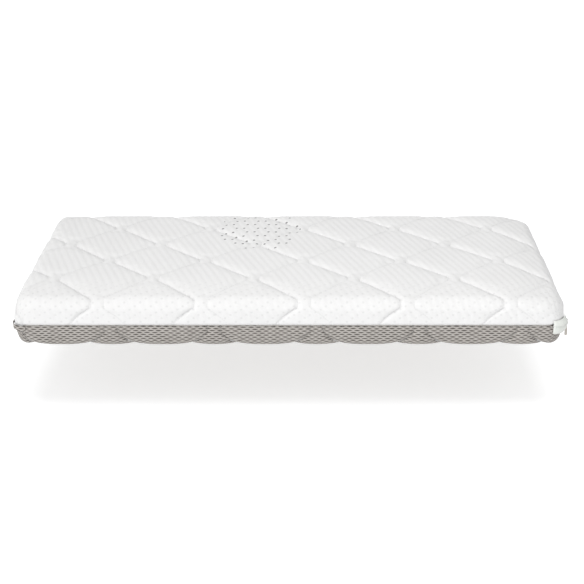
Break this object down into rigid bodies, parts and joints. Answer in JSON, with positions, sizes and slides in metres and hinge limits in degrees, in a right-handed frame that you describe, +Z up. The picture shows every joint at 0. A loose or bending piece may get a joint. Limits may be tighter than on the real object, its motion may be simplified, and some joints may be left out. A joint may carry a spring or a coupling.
{
  "type": "pressure relief mattress",
  "caption": "Thin foam mattress in a quilted white and grey mesh cover that unzips on three sides, with a zip slider, pull and garage flap.",
  "frame": {"origin": "middle of the underside", "axes": "+X along the length towards the end that carries the zip slider, +Y across the width from the plain hinged side to the back, +Z up"},
  "size_m": [1.1917, 0.5618, 0.115],
  "materials": {
    "white_knit": "quilted jersey knit",
    "wadding": "soft polyester wadding",
    "backing_net": "thin open net",
    "binding_tape": "woven tape",
    "grey_mesh": "knitted spacer mesh with small holes",
    "spacer_yarn": "springy spacer yarn",
    "lining_net": "thin open net",
    "blank_label": "smooth satin, blank",
    "support_foam": "cut open-cell foam",
    "foam_glue": "thin tacky film",
    "comfort_foam": "slow-recovery foam with fine cells",
    "zip_tape": "woven polyester tape",
    "zip_coil": "nylon coil",
    "zip_metal": "plated die-cast metal",
    "flap_fabric": "smooth woven fabric"
  },
  "bodies": {
    "root": {"base_mesh": "grey_mesh", "base_spacer": "spacer_yarn", "base_lining": "lining_net", "base_corner_bindings": "binding_tape", "front_seam_tape": "binding_tape", "care_label": "blank_label", "support_core": "support_foam", "core_glue": "foam_glue", "comfort_layer": "comfort_foam", "lower_zip_tape": "zip_tape", "parked_zip_tapes": "zip_tape", "lower_zip_coil": "zip_coil", "parked_zip_coils": "zip_coil", "zip_top_stops": "zip_metal", "zip_bottom_stop": "zip_metal", "zip_end_tab": "grey_mesh", "garage_flap_lower": "flap_fabric"},
    "top_cover": {"top_knit": "white_knit", "top_wadding": "wadding", "top_backing": "backing_net", "top_corner_bindings": "binding_tape", "upper_zip_tape": "zip_tape", "upper_zip_coil": "zip_coil", "garage_flap_upper": "flap_fabric"},
    "slider": {"zip_slider": "zip_metal"},
    "pull": {"zip_pull": "zip_metal"}
  },
  "joints": [
    {"name": "cover_opening", "type": "hinge", "parent": "root", "child": "top_cover", "pos_m": [0, -0.2822, 0.05], "axis": [1, 0, 0], "range_deg": [0, 140]},
    {"name": "slider_travel", "type": "slide", "parent": "root", "child": "slider", "axis": [0, 1, 0], "range_m": [0, 0.48]},
    {"name": "pull_swing", "type": "hinge", "parent": "slider", "child": "pull", "pos_m": [0.598, -0.246, 0.05], "axis": [0, -1, 0], "range_deg": [-5, 165]}
  ]
}
